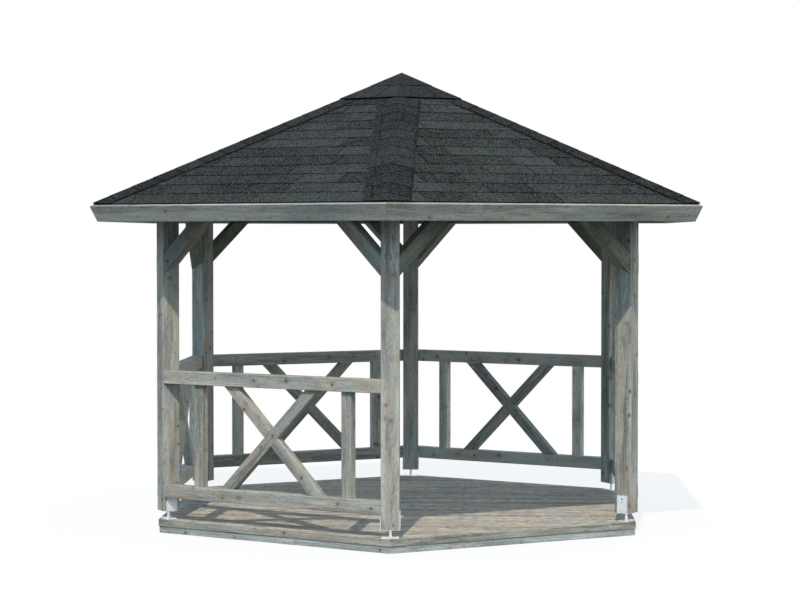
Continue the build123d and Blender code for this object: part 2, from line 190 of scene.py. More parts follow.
def timber(name, light, mid, dark, warm, cool, mottle=0.0, clear=0.22):
    """Weathered stained softwood; clear is the share of the wood's cells without a knot.

    The grain attribute is metres along, across and through each piece, and the numbers that
    stretch it are cycles per metre along and across.
    """
    light, mid, dark, warm, cool = (rgb(*levels) for levels in (light, mid, dark, warm, cool))
    r = Recipe(name, Specular_IOR_Level=0.3)
    grain = r.attribute("grain", "Vector")
    wander = r.vector("SUBTRACT", r.noise(r.stretched(grain, 1.6, 6.0), output="Color"), (0.5, 0.5, 0.5))
    flow = r.vector("ADD", grain, r.vector("MULTIPLY", wander, FIBRE_SWAY))

    # Knots: small balls scattered through the wood, seen where a face cuts them.
    knots = r.cells(r.vector("DIVIDE", grain, KNOT_CELL), 1.0, randomness=0.85)
    offset = r.vector("SUBTRACT", grain, r.vector("MULTIPLY", knots["Position"], KNOT_CELL))
    chance = r.split(knots["Color"])
    radius = r.plus(r.times(chance[0], KNOT_SPREAD), KNOT_LEAST)
    present = r.math("GREATER_THAN", chance[1], clear)
    reach = r.math("DIVIDE", r.vector("LENGTH", offset), radius)
    knot = r.times(r.between(reach, 1.15, 0.75), present)
    core = r.times(r.between(reach, 0.62, 0.35), present)
    halo = r.times(r.between(reach, 3.6, 0.9), present)
    long_reach = r.math("DIVIDE", r.vector("LENGTH", r.stretched(offset, 0.13, 1.0)), radius)
    bare = r.times(r.between(long_reach, 2.2, 0.8), present)
    bare = r.times(bare, r.between(r.noise(r.stretched(grain, 3.0, 14.0)), 0.42, 0.62))

    # The fibres part round each knot.
    push = r.vector("SCALE", offset)
    r.feed(push.node.inputs["Scale"], r.times(halo, -0.55))
    flow = r.vector("ADD", flow, push)

    broad = r.noise(r.stretched(flow, 1.5, 15.0), detail=3.0)
    streak = r.noise(r.stretched(flow, 4.5, 80.0), detail=3.0, roughness=0.65)
    fine = r.noise(r.stretched(flow, 14.0, 330.0), detail=2.0, roughness=0.6)
    flush = r.noise(r.stretched(flow, 3.2, 12.0), detail=4.0, roughness=0.6)
    chill = r.noise(r.stretched(flow, 2.2, 10.0), detail=3.0)
    dash = r.noise(r.stretched(flow, 11.0, 130.0), detail=1.0)
    fleck = r.noise(r.stretched(flow, 38.0, 105.0), detail=1.0)
    spots = r.noise(r.stretched(grain, 17.0, 15.0), detail=3.0, roughness=0.6)
    check_line = r.math("ABSOLUTE", r.minus(r.noise(r.stretched(flow, 1.9, 38.0), detail=1.0), 0.5))
    check_room = r.between(r.noise(r.stretched(grain, 2.2, 11.0)), 0.55, 0.68)
    check = r.times(r.between(check_line, 0.010, 0.002), check_room)

    body = r.plus(r.times(broad, 0.65), r.plus(r.times(streak, 0.75), r.times(fine, 0.40)))
    body = r.plus(body, r.swing(spots, mottle))
    ring = r.between(r.plus(r.attribute("heart"), r.swing(broad, 2.0)), -0.35, 0.35)
    body = r.plus(body, r.plus(r.swing(r.attribute("tone"), 0.14), r.swing(ring, 0.14)))
    colour = r.blend(r.between(body, 0.70, 0.96), dark, mid)
    colour = r.blend(r.between(body, 0.89, 1.14), colour, light)
    colour = r.stain(colour, r.between(chill, 0.48, 0.66), 0.50, cool)
    colour = r.stain(colour, r.between(flush, 0.50, 0.68), 0.55, warm)
    colour = r.stain(colour, r.between(dash, 0.64, 0.74), 0.50, dark)
    colour = r.stain(colour, r.between(fleck, 0.56, 0.70), 0.38, dark)
    colour = r.stain(colour, r.between(fleck, 0.44, 0.32), 0.28, light)
    colour = r.stain(colour, bare, 0.38, BARE_WOOD)
    colour = r.stain(colour, halo, 0.25, KNOT_HALO)
    colour = r.stain(colour, knot, 0.72, KNOT)
    colour = r.stain(colour, core, 0.45, KNOT_CORE)
    colour = r.stain(colour, check, 0.75, DEEP_CHECK)
    # Painted highlight: the rounded edges are lightened towards the light colour, more along the streaks.
    colour = r.stain(colour, r.attribute("arris"), r.plus(r.times(streak, 0.5), 0.10), light)

    height = r.plus(r.times(fine, 0.35), r.plus(r.times(streak, 0.9), r.times(knot, 0.5)))
    height = r.minus(height, r.plus(r.times(check, 1.4), r.times(core, 0.5)))
    roughness = r.plus(r.times(fine, 0.16), r.plus(r.times(knot, -0.12), 0.68))
    return r.finish(colour, roughness, height)


POST_TIMBER = timber(
    "post_timber", (200, 201, 192), (170, 172, 164), (122, 126, 120), (178, 161, 142), (138, 147, 149)
)
BRACE_TIMBER = timber(
    "brace_timber", (152, 161, 146), (130, 139, 125), (93, 101, 91), (138, 131, 108), (109, 122, 117)
)
RAIL_TIMBER = timber(
    "rail_timber", (199, 199, 189), (169, 171, 162), (120, 124, 120), (188, 164, 143), (138, 148, 153)
)
# A lighter copy of the rail timber, as painted light on the uprights of the back sides under the roof.
PAINTED_LIGHT_TIMBER = timber(
    "painted_light_timber", (232, 228, 214), (196, 195, 184), (134, 136, 128), (206, 180, 154), (152, 161, 163)
)
DECK_TIMBER = timber(
    "deck_timber",
    (220, 211, 194), (190, 184, 171), (135, 137, 136), (206, 184, 156), (153, 166, 180),
    mottle=0.9,
    clear=0.4,
)
EDGE_TIMBER = timber(
    "edge_timber", (196, 195, 182), (165, 165, 156), (107, 111, 106), (175, 161, 142), (138, 145, 149)
)
SKIRT_TIMBER = timber(
    "skirt_timber", (204, 211, 211), (177, 185, 185), (129, 138, 141), (180, 177, 168), (156, 168, 178)
)
FASCIA_TIMBER = timber(
    "fascia_timber",
    (186, 190, 181), (159, 165, 157), (114, 122, 118), (171, 160, 147), (133, 145, 145),
    clear=0.6,
)
ROOF_TIMBER = timber(
    "roof_timber",
    (180, 182, 174), (156, 160, 152), (114, 118, 112), (166, 150, 132), (130, 138, 140),
    clear=0.4,
)


# Felt and metal --------
BITUMEN = rgb(12, 13, 14)
WORN_STONE = rgb(98, 104, 106)


def shingle_material(name, dark, light, green, contrast, seam, fringe):
    """Mineral-surfaced bitumen shingles; each tab has its own blend of granules.

    The lap attribute is 0 at a tab's lower edge and 1 where the next one covers it, and the line of
    painted shade there is fringe wide. Above 1 it marks a cut edge with a line of painted shade, the darker
    the higher.
    """
    r = Recipe(name, Specular_IOR_Level=0.06)
    place = r.add("TexCoord", {}, "Object")
    tone = r.attribute("tone")
    stones = r.cells(place, 420.0)
    stone = r.split(stones["Color"])[0]
    cluster = r.split(r.cells(place, 150.0)["Color"])[0]
    clumps = r.noise(place, 95.0, detail=3.0, roughness=0.7)
    drift = r.noise(place, 7.0, detail=2.0)
    broken = r.between(r.noise(place, 13.0, detail=2.0), 0.42, 0.58)

    level_of_tab = r.plus(r.swing(tone, contrast), r.swing(drift, 0.4))
    granules = r.plus(r.swing(stone, 1.0), r.swing(clumps, 0.3))
    granules = r.plus(granules, r.times(r.minus(r.times(cluster, cluster), 0.33), 1.95))
    colour = r.blend(r.math("ADD", r.plus(level_of_tab, granules), 0.44, clamp=True), dark, light)
    colour = r.stain(colour, r.attribute("hue"), 0.8, r.blend(1.0, colour, green, "MULTIPLY"))
    colour = r.stain(colour, r.between(stone, 0.93, 0.97), 0.6, WORN_STONE)
    # Painted shade: a dark line where the next tab or cap covers this one, stronger on darker tabs.
    lap = r.between(r.attribute("lap"), 1.0 - fringe, 0.985)
    drawn = r.plus(r.times(r.minus(1.0, tone), 1.3), 0.35)
    colour = r.stain(colour, r.times(lap, drawn), r.plus(r.times(broken, 0.25), seam), BITUMEN)
    # Painted shade along the cut edges of the hip caps.
    colour = r.stain(colour, r.between(r.attribute("lap"), 1.12, 1.4), 0.9, BITUMEN)
    colour = r.stain(colour, r.attribute("arris"), r.plus(r.times(broken, 0.55), 0.05), BITUMEN)
    height = r.plus(r.times(r.minus(1.0, stones["Distance"]), 0.9), r.times(clumps, 1.2))
    return r.finish(colour, r.plus(r.times(stone, 0.12), 0.82), height)


def felt_material():
    """Bitumen underlay that shows only in the joints of the shingles."""
    r = Recipe("underlay", Specular_IOR_Level=0.2)
    place = r.add("TexCoord", {}, "Object")
    mottle = r.noise(place, 60.0, detail=4.0, roughness=0.7)
    colour = r.blend(mottle, rgb(16, 17, 18), rgb(34, 36, 38))
    return r.finish(colour, r.plus(r.times(mottle, 0.1), 0.8), r.times(mottle, 1.5))


def galvanised():
    """Hot-dip galvanised steel: pale bluish spangle, a little scuffed, shinier on cut edges, rods and foot
    plates, which are also whitened as a painted highlight.
    """
    r = Recipe("galvanised_steel")
    place = r.add("TexCoord", {}, "Object")
    flake = r.split(r.cells(place, 130.0)["Color"])[0]
    cloud = r.noise(place, 22.0, detail=3.0)
    scuff = r.noise(r.vector("MULTIPLY", place, (900, 60, 900)), detail=2.0)
    shine_and_painted_highlight = r.attribute("arris")
    r.feed(r.shader.inputs["Metallic"], r.plus(r.times(shine_and_painted_highlight, 0.75), 0.10))
    colour = r.blend(flake, rgb(234, 247, 254), rgb(244, 252, 255))
    colour = r.stain(colour, r.between(cloud, 0.5, 0.75), 0.25, rgb(226, 238, 246))
    # Painted highlight: cut edges, rods and foot plates are whitened.
    colour = r.stain(colour, shine_and_painted_highlight, 0.8, rgb(252, 253, 255))
    roughness = r.plus(r.times(flake, 0.16), r.plus(r.times(scuff, 0.12), r.times(shine_and_painted_highlight, -0.12)))
    roughness = r.plus(roughness, 0.36)
    return r.finish(colour, roughness, r.plus(r.times(cloud, 0.4), r.times(scuff, 0.08)))


def aged_zinc():
    """Screw heads gone dull in the weather."""
    r = Recipe("aged_zinc", Metallic=0.3)
    place = r.add("TexCoord", {}, "Object")
    bloom = r.noise(place, 240.0, detail=3.0)
    colour = r.blend(bloom, rgb(70, 72, 70), rgb(112, 114, 110))
    return r.finish(colour, r.plus(r.times(bloom, 0.2), 0.5), r.times(bloom, 0.2))


SHINGLE = shingle_material(
    "shingle", rgb(14, 15, 17), rgb(75, 78, 79), (0.89, 1.04, 0.95, 1),
    contrast=0.70, seam=0.02, fringe=0.10,
)
# The hip caps carry a strong line of painted shade at their laps.
HIP_SHINGLE = shingle_material(
    "hip_shingle", rgb(12, 13, 15), rgb(60, 64, 67), (0.95, 1.03, 1.0, 1),
    contrast=0.52, seam=0.72, fringe=0.075,
)
FELT = felt_material()
STEEL = galvanised()
OLD_ZINC = aged_zinc()


# Building and dressing meshes --------
WELD = 1e-5
SLIVER = 1e-6
FLAT = radians(0.6)
SHARP = radians(20)
FORWARD = Vector((0.3, 0.5, 0.8))  # the way that the grain of every member is counted
UPRIGHT = 0.9  # a member this steep is upright
GRAIN_ROOM = 40  # how far apart members may be in the wood
HEART_ACROSS, HEART_THROUGH = 14, 9
EVEN = 0.5  # the middle of a tone or hue


def layers(mesh):
    """The attribute layers that the materials read."""
    points, faces = mesh.verts.layers, mesh.faces.layers
    keys = {"grain": points.float_vector.get("grain") or points.float_vector.new("grain")}
    for name in ("tone", "heart", "hue", "lap"):
        keys[name] = points.float.get(name) or points.float.new(name)
    keys["arris"] = faces.float.get("arris") or faces.float.new("arris")
    return keys


def edge_face(mesh, keys, corners):
    """A face that the materials take for a cut edge."""
    mesh.faces.new(corners)[keys["arris"]] = 1.0


def islands(mesh):
    """The vertices of each separate solid."""
    left = set(mesh.verts)
    found = []
    for start in mesh.verts:
        if start not in left:
            continue
        left.discard(start)
        group, front = [start], [start]
        while front:
            for edge in front.pop().link_edges:
                for other in edge.verts:
                    if other in left:
                        left.discard(other)
                        group.append(other)
                        front.append(other)
        found.append(group)
    return found


def mixed_wood(middle):
    """How much paler than most the member round this middle is, and its heart, None for anywhere."""
    return 0.0, None


def lay_grain(mesh, keys, group, random, nature=mixed_wood):
    """Gives one solid its grain: along its longest edge, with a random start in the wood."""
    edges = {edge for vertex in group for edge in vertex.link_edges}
    along = max(edges, key=lambda edge: round(edge.calc_length(), 5))
    run = (along.verts[1].co - along.verts[0].co).normalized()
    if run.dot(FORWARD) < 0:
        run.negate()
    if abs(run.z) < UPRIGHT:
        first = run.cross(UP)
    else:  # across from a level line within a few degrees of +X
        first = run.cross(level(group[0].co.to_2d().angle_signed(Vector((1, 0)), 0)))
    first.normalize()
    second = run.cross(first)
    middle = sum((vertex.co for vertex in group), Vector()) / len(group)
    start = Vector([random.uniform(-GRAIN_ROOM, GRAIN_ROOM) for _ in range(3)])
    paler, heart = nature(middle)
    tone = random.random() + paler
    slopes = (-HEART_ACROSS, HEART_ACROSS), (-HEART_THROUGH, HEART_THROUGH)
    chance = (random.uniform(-1, 1), random.choice(slopes[0]), random.choice(slopes[1]))
    heart = heart or chance
    for vertex in group:
        place = vertex.co - middle
        across, through = place.dot(second), place.dot(first)
        vertex[keys["grain"]] = Vector((place.dot(run), across, through)) + start
        vertex[keys["tone"]] = tone
        vertex[keys["heart"]] = heart[0] + heart[1] * across + heart[2] * through


def piece(name, mesh, slot, material, *nodes, smooth=None):
    """Turns a finished bmesh into a piece that rides on the root and stands for these nodes."""
    data = bpy.data.meshes.new(name)
    bmesh.ops.recalc_face_normals(mesh, faces=mesh.faces)
    mesh.to_mesh(data)
    mesh.free()
    if smooth is not None:
        data.shade_smooth()
        data.set_sharp_from_angle(angle=smooth)
    made = bpy.data.objects.new(name, data)
    bpy.context.scene.collection.objects.link(made)
    data.materials.append(material)
    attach(made, "root")
    if nodes:
        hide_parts(*nodes)


def solids(node):
    """The solids of a CAD node, welded."""
    mesh = bmesh.new()
    mesh.from_mesh(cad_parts[node].data)
    bmesh.ops.remove_doubles(mesh, verts=mesh.verts, dist=WELD)
    return mesh


def rounded(mesh, edges, width):
    """Rounds these edges and returns the new faces."""
    return bmesh.ops.bevel(
        mesh, geom=edges, offset=width, segments=2, profile=0.5, affect="EDGES", clamp_overlap=True
    )["faces"]


def eased(node, width):
    """The solids of a CAD node with whole flat faces and rounded edges."""
    mesh = solids(node)
    bmesh.ops.dissolve_limit(mesh, angle_limit=FLAT, verts=mesh.verts, edges=mesh.edges)
    keys = layers(mesh)
    for group in islands(mesh):
        edges = {edge for vertex in group for edge in vertex.link_edges}
        sharp = [edge for edge in edges if edge.is_manifold and edge.calc_face_angle(0) > SHARP]
        sharp.sort(key=lambda edge: tuple(round(v, 5) for v in edge.verts[0].co + edge.verts[1].co))
        # the rounded faces carry the timber's painted highlight
        for face in rounded(mesh, sharp, width):
            face[keys["arris"]] = 1.0
    return mesh


def dress(node, slot, material, nature=mixed_wood, *, ease):
    """A timber node as a piece of its own, with eased edges and a grain in each member."""
    mesh = eased(node, ease)
    keys = layers(mesh)
    random = Random(node)
    for group in islands(mesh):
        lay_grain(mesh, keys, group, random, nature)
    piece(f"{node}_dressed", mesh, slot, material, node)


# Timber members --------
RAIL_MIDDLE = 0.5
LOW_RAIL_DARKER = 0.6
# Painted light: the rails of the back sides are paler for the light that reaches them under the roof.
RAIL_PAINTED_LIGHT = {"right_back": 3.6, "back": 0.6, "left_back": 3.6}
# Painted shade darkens the arms of the right back and back sides; painted light lightens those of the left
# back side.
ARM_PAINTED_LIGHT_AND_SHADE = {"right_back": -1.2, "back": -1.2, "left_back": 3.6}
BRACE_PALER = {("left_front", "front_left"): 0.3, ("left_front", "left"): -1.6, ("back", "back_left"): -0.9}
# Painted light on the uprights of the back sides, by the corner they are nearest to.
UPRIGHT_PAINTED_LIGHT = {
    ("right_back", "right"): 2.6,
    ("right_back", "back_right"): 1.2,
    ("left_back", "left"): 1.1,
    ("left_back", "back_left"): 1.1,
}
# These sides take the lighter copy of the rail timber as painted light.
PAINTED_LIGHT_UPRIGHTS = ("right_back", "left_back")


def post_wood(middle):
    """Posts are much alike on every face."""
    return 0.15, (0.1, 0, 0)


def wood_by_corner(side, paler):
    """How much paler each member of this side is, by the corner that it is nearest to."""

    def nature(middle):
        corner = min(CORNERS, key=lambda name: middle.to_2d().angle(level(CORNERS[name]).to_2d()))
        return paler.get((side, corner), 0.0), None

    return nature


def rail_wood(side, paler):
    """How much paler the members of this side are, where low ones are a little darker than high ones."""
    return lambda middle: (paler.get(side, 0.0) - (LOW_RAIL_DARKER if middle.z < RAIL_MIDDLE else 0.0), None)


def fascia_wood(middle):
    """The left front board is dark along its upper half; the others are even."""
    facing = middle.to_2d().angle(level(SIDES["left_front"]).to_2d())
    return (0.8, (0, 30, 0)) if facing < HALF_SIDE else (-0.2, (0.4, 0, 0))


for corner in CORNERS:
    dress(f"post_{corner}", "post_timber", POST_TIMBER, post_wood, ease=0.0016)
dress("wall_plates", "post_timber", BRACE_TIMBER, ease=0.0016)
for side in SIDES:
    wood = POST_TIMBER if side == "left_front" else BRACE_TIMBER
    dress(f"knee_braces_{side}", "post_timber", wood, wood_by_corner(side, BRACE_PALER), ease=0.0025)
for side in RAILED:
    dress(f"rails_{side}", "rail_timber", RAIL_TIMBER, rail_wood(side, RAIL_PAINTED_LIGHT), ease=0.0014)
    if side in PAINTED_LIGHT_UPRIGHTS:
        wood, nature = PAINTED_LIGHT_TIMBER, wood_by_corner(side, UPRIGHT_PAINTED_LIGHT)
    else:
        wood, nature = RAIL_TIMBER, rail_wood(side, RAIL_PAINTED_LIGHT)
    dress(f"uprights_{side}", "rail_timber", wood, nature, ease=0.0014)
    for arms in ("cross_arm", "half_arms"):
        dress(f"{arms}_{side}", "rail_timber", RAIL_TIMBER, rail_wood(side, ARM_PAINTED_LIGHT_AND_SHADE), ease=0.0025)
for node in ("rim_joists", "joists"):
    dress(node, "deck_timber", DECK_TIMBER, ease=0.002)
dress("skirt_boards", "deck_timber", SKIRT_TIMBER, ease=0.002)
dress("edge_boards", "deck_timber", EDGE_TIMBER, ease=0.0025)
dress("deck_boards", "deck_timber", DECK_TIMBER, ease=0.0015)
dress("roof_hub", "roof_timber", ROOF_TIMBER, ease=0.0025)
for node in ("hip_rafters", "rafters"):
    dress(node, "roof_timber", ROOF_TIMBER, ease=0.0012)
dress("fascia_boards", "fascia_timber", FASCIA_TIMBER, fascia_wood, ease=0.0015)


# The faces of the roof --------
def apothem_at(up, out):
    """How far out a roof face lies: up the slope from the fascia's face and out of the boarding."""
    return eave_apothem - up * cos(ROOF_ANGLE) + out * sin(ROOF_ANGLE)


def on_roof(side, along, up, out):
    """Point on a roof face, where along runs by the eave."""
    angle = SIDES[side]
    height = eave_height + up * sin(ROOF_ANGLE) + out * cos(ROOF_ANGLE)
    return level(angle) * apothem_at(up, out) + level(angle + 90) * along + UP * height


def half_width(up, out, gap=0.0):
    """Half the length of a roof face at this place, less a gap at each hip."""
    return max(apothem_at(up, out) * tan(HALF_SIDE) - gap, 0.0)


def clipped(outline, inside):
    """The part of a flat outline where inside(point) is not negative."""
    kept = []
    for number, point in enumerate(outline):
        before = outline[number - 1]
        a, b = inside(before), inside(point)
        if (a < 0) != (b < 0):
            share = a / (a - b)
            kept.append(tuple(p + (q - p) * share for p, q in zip(before, point)))
        if b >= 0:
            kept.append(point)
    return kept


def within_hips(outline, out, gap):
    """The outline cut off at the two hips of its face."""
    widest = half_width(0, out, gap)
    for sign in (1, -1):
        outline = clipped(outline, lambda p: widest - TAPER * p[1] - sign * p[0])
        if len(outline) < 3:
            return []
    return outline


def sheet_solid(mesh, keys, side, outline, under, over, tone, hue, start, exposure):
    """A thin solid on a roof face, between two heights over an outline of (along, up) points."""
    low = [mesh.verts.new(on_roof(side, x, up, under(up))) for x, up in outline]
    high = [mesh.verts.new(on_roof(side, x, up, over(up))) for x, up in outline]
    mesh.faces.new(high)
    mesh.faces.new(low[::-1])
    for number in range(len(outline)):
        edge_face(mesh, keys, (low[number - 1], low[number], high[number], high[number - 1]))
    for vertex, (x, up) in zip(low + high, outline + outline):
        vertex[keys["tone"]] = tone
        vertex[keys["hue"]] = hue
        vertex[keys["lap"]] = (up - start) / exposure


def plain_sheets(name, node, lower, under, over, level_of_hips, gap):
    """A piece of plain felt on every face, from this line up to the peak and between two heights."""
    mesh = bmesh.new()
    keys = layers(mesh)
    wide = eave_apothem * 2
    outline = [(-wide, lower), (wide, lower), (wide, slope_length), (-wide, slope_length)]
    for side in SIDES:
        kept = within_hips(outline, level_of_hips, gap)
        sheet_solid(mesh, keys, side, kept, lambda up: under, lambda up: over, EVEN, EVEN, 0.0, 1.0)
    bmesh.ops.dissolve_degenerate(mesh, dist=SLIVER, edges=mesh.edges)
    piece(name, mesh, "shingle", FELT, node)


# Boarding: planks along the eave, their lower edges chamfered into V joints --------
PLANK = 0.095
PLANK_JOINT = 0.0008
PLANK_CHAMFER = 0.004
PLANK_CLEAR = 0.0005  # under the felt
PLANK_LEAST = 0.01
HIP_JOINT = 0.0006


def plank(mesh, keys, side, lower, upper, random):
    """A board between two lines on a roof face, mitred at the hips."""
    rings = []
    levels = (-PLANK_CLEAR, 0.0), (PLANK_CHAMFER - BOARD_THICKNESS, 0.0), (-BOARD_THICKNESS, PLANK_CHAMFER)
    for out, inset in levels:
        a, b = lower + PLANK_JOINT / 2 + inset, upper - PLANK_JOINT / 2 - inset
        corners = [(-half_width(a, out, HIP_JOINT), a), (half_width(a, out, HIP_JOINT), a)]
        corners += [(half_width(b, out, HIP_JOINT), b), (-half_width(b, out, HIP_JOINT), b)]
        rings.append([mesh.verts.new(on_roof(side, x, up, out)) for x, up in corners])
    for high, low in zip(rings, rings[1:]):
        for number in range(4):
            mesh.faces.new((high[number - 1], high[number], low[number], low[number - 1]))
    mesh.faces.new(rings[0])
    mesh.faces.new(rings[-1][::-1])
    lay_grain(mesh, keys, [vertex for ring in rings for vertex in ring], random)


boarding = bmesh.new()
keys = layers(boarding)
random = Random("boarding")
for side in SIDES:
    lower = FASCIA_THICKNESS
    while lower < slope_length - PLANK_LEAST:
        plank(boarding, keys, side, lower, min(lower + PLANK, slope_length), random)
        lower += PLANK
bmesh.ops.remove_doubles(boarding, verts=boarding.verts, dist=SLIVER)
bmesh.ops.dissolve_degenerate(boarding, dist=SLIVER, edges=boarding.edges)
piece("roof_planks", boarding, "roof_timber", ROOF_TIMBER, "roof_boards")


# Shingles, over a thin underlay that shows in their joints --------
FELT_TOP = 0.0004
FELT_GAP = 0.0002
SHINGLE_EXPOSURE = 0.153
SHINGLE_TAB = 0.333
SHINGLE_SHEET = 0.0036
SHINGLE_START = 0.002  # beyond the fascia
SHINGLE_GAP = 0.004  # beside a hip
TABS_IN_STRIP = 3
STRIP_JOINT = 0.0085
TAB_JOINTS = (0.0006, 0.0006, 0.0045)
TAB_UNEVEN = 0.0015
LAP = 0.020  # how far a shingle runs on under the one above
LAP_CLEAR = 0.0003


def shingle_course(mesh, keys, side, start, length, top, sheet, fall, gap, shift, random):
    """One row of tabs: top is the height of their upper side at the lower edge, fall how far it sinks."""

    def over(up):
        return top - fall * (up - start) / length

    def under(up):
        return over(up) - sheet

    reach = half_width(start, top)
    edge = -reach - shift * SHINGLE_TAB
    number = 0
    while edge < reach:
        joint = STRIP_JOINT if number % TABS_IN_STRIP == 0 else random.choice(TAB_JOINTS)
        lower = start + random.uniform(-TAB_UNEVEN, TAB_UNEVEN)
        upper = start + length + LAP
        right = edge + SHINGLE_TAB - joint
        corners = [(edge, lower), (right, lower), (right, upper), (edge, upper)]
        outline = within_hips(corners, under(start), gap)
        if len(outline) >= 3:
            tone, hue = random.random(), random.random()
            sheet_solid(mesh, keys, side, outline, under, over, tone, hue, start, length)
        edge += SHINGLE_TAB
        number += 1


plain_sheets("underlay", "shingles", FASCIA_THICKNESS, 0.0, FELT_TOP, 0.0, FELT_GAP)

tabs = bmesh.new()
keys = layers(tabs)
random = Random("shingle tabs")
for side in SIDES:
    start = FASCIA_THICKNESS + SHINGLE_START
    row = 0
    while start < cap_edge + LAP:
        shift = (0.5 * (row % 2) + random.uniform(0.05, 0.30)) % 1.0
        fall = SHINGLE_SHEET + LAP_CLEAR
        shingle_course(
            tabs, keys, side, start, SHINGLE_EXPOSURE, SKIN, SHINGLE_SHEET, fall, SHINGLE_GAP, shift, random
        )
        start += SHINGLE_EXPOSURE
        row += 1
piece("shingle_tabs", tabs, "shingle", SHINGLE, "shingles")


# Hip caps: pieces folded over each hip, each lapping the one below --------
HIP_CAP_EXPOSURE = 0.174
HIP_CAP_HALF = 0.127
HIP_SHEET = 0.0016
HIP_REST = 0.0004  # clear of the shingles
HIP_LIFT = HIP_CAP_RISE - HIP_REST - 3 * HIP_SHEET  # at the fold
HIP_FOLD = 0.012  # where the fold starts to round, and how sharp its crest is
HIP_SHARPNESS = 0.45
HIP_STEPS = (1.0, 0.90, 0.55, 0.22)  # where a flank has vertices, as shares of its width
HIP_SEAM = 0.003
HIP_UNEVEN = 0.002
HIP_STAGGER = 0.0045  # to the left and right by turns
HIP_SKEW = {180: -0.014, 240: -0.024}  # some hips have their caps laid more to one side
HIP_REACH = {240: 0.060}  # every other cap of this hip reaches further down one face
HIP_SHADE = {180: 0.25, 300: 0.5}  # some hips have darker felt
CAP_EDGE_SHADE = (1.34, 1.34)  # the lap values that draw painted shade along the left and right cut edge of a cap
CAP_EDGE_SHADE_AT = {240: (3.0, 1.45)}
HIP_START = 0.050  # how far above the fascia's back the first exposure starts
HIP_TUCK = 0.012  # under the roof cap
TRIM_CLEAR = 0.0005


def on_hip(angle, sign, along, aside, out):
    """Point beside a hip: along it from the eave, aside down one of its two faces."""
    side = next(name for name, middle in SIDES.items() if (angle + sign * 30 - middle) % 360 == 0)
    x = -sign * (half_width(0, out) - (along * TAPER + aside) / HIP_STRETCH)
    up = (along - aside * TAPER) / HIP_STRETCH
    return on_roof(side, x, up, out)


def hip_ring(mesh, angle, along, out, halves):
    """The vertices right across a hip, from the left edge of a cap over the fold to the right one."""
    flanks = []
    for sign, half in zip((-1, 1), halves):
        flank = []
        for step in HIP_STEPS:
            lift = HIP_LIFT * max(0.0, 1 - step * half / HIP_CAP_HALF)
            flank.append(on_hip(angle, sign, along, step * half, out + lift))
        flank.append(on_hip(angle, sign, along, HIP_FOLD, out + HIP_LIFT))
        flanks.append(flank)
    left, right = flanks
    crest = (left[-1] + right[-1]) / 2
    fold = on_hip(angle, 1, along, 0.0, out + HIP_LIFT)
    return [mesh.verts.new(point) for point in left + [crest.lerp(fold, HIP_SHARPNESS)] + right[::-1]]


def hip_cap(mesh, keys, angle, start, finish, halves, tone, hue, edges):
    """A folded piece that lies on the piece below and runs on under the one above."""
    seam = start + HIP_CAP_EXPOSURE
    stations = [(start, 0.0), (seam, 1.0), (seam + HIP_SEAM, 0.0)]
    stations = [station for station in stations if station[0] < finish - HIP_SEAM] + [(finish, 0.0)]
    rings = []
    for along, lap in stations:
        top = SKIN + HIP_REST + HIP_SHEET * (3 - (along - start) / HIP_CAP_EXPOSURE)
        for out in (top, top - HIP_SHEET):
            ring = hip_ring(mesh, angle, along, out, halves)
            for vertex in ring:
                vertex[keys["tone"]] = tone
                vertex[keys["hue"]] = hue
                vertex[keys["lap"]] = lap
            for vertex, edge in zip((ring[0], ring[-1]), edges):
                if edge is not None:
                    vertex[keys["lap"]] = edge
            rings.append(ring)
    count = len(rings[0])
    for near in range(0, len(rings) - 2, 2):
        over, under, far_over, far_under = rings[near : near + 4]
        for a, b in zip(range(count - 1), range(1, count)):
            mesh.faces.new((over[a], over[b], far_over[b], far_over[a]))
            mesh.faces.new((under[b], under[a], far_under[a], far_under[b]))
        for a in (0, count - 1):
            edge_face(mesh, keys, (over[a], far_over[a], far_under[a], under[a]))
    for over, under in (rings[:2], rings[-2:]):
        for a, b in zip(range(count - 1), range(1, count)):
            edge_face(mesh, keys, (over[a], over[b], under[b], under[a]))


def trimmed_at_eaves(mesh, keys):
    """Cuts off what reaches past the back of the fascia and closes the cuts."""
    for side, angle in SIDES.items():
        cut = bmesh.ops.bisect_plane(
            mesh,
            geom=mesh.verts[:] + mesh.edges[:] + mesh.faces[:],
            plane_co=on_roof(side, 0, FASCIA_THICKNESS + TRIM_CLEAR, 0),
            plane_no=level(angle) * cos(ROOF_ANGLE) - UP * sin(ROOF_ANGLE),
            clear_outer=True,
        )
        rim = [edge for edge in cut["geom_cut"] if isinstance(edge, bmesh.types.BMEdge) and edge.is_boundary]
        for face in bmesh.ops.holes_fill(mesh, edges=rim, sides=0)["faces"]:
            face[keys["arris"]] = 1.0


caps = bmesh.new()
keys = layers(caps)
random = Random("hip caps")
hip_end = cap_edge * HIP_STRETCH + HIP_TUCK
for angle in CORNERS.values():
    start = FASCIA_THICKNESS * HIP_STRETCH + HIP_START - 0.5 * HIP_CAP_EXPOSURE
    number = 0
    while start < hip_end:
        finish = min(start + 2 * HIP_CAP_EXPOSURE, hip_end)
        stagger = HIP_STAGGER if number % 2 else -HIP_STAGGER
        slip = HIP_SKEW.get(angle, 0.0) + random.uniform(-HIP_UNEVEN, HIP_UNEVEN) + stagger
        reach = 0.0 if number % 2 else HIP_REACH.get(angle, 0.0)
        halves = (HIP_CAP_HALF + slip + reach, HIP_CAP_HALF - slip)
        tone, hue = random.random() - HIP_SHADE.get(angle, 0.0), random.random()
        left, right = CAP_EDGE_SHADE_AT.get(angle, CAP_EDGE_SHADE)
        edges = (None if reach else left, right)
        hip_cap(caps, keys, angle, start, finish, halves, tone, hue, edges)
        start += HIP_CAP_EXPOSURE
        number += 1
trimmed_at_eaves(caps, keys)
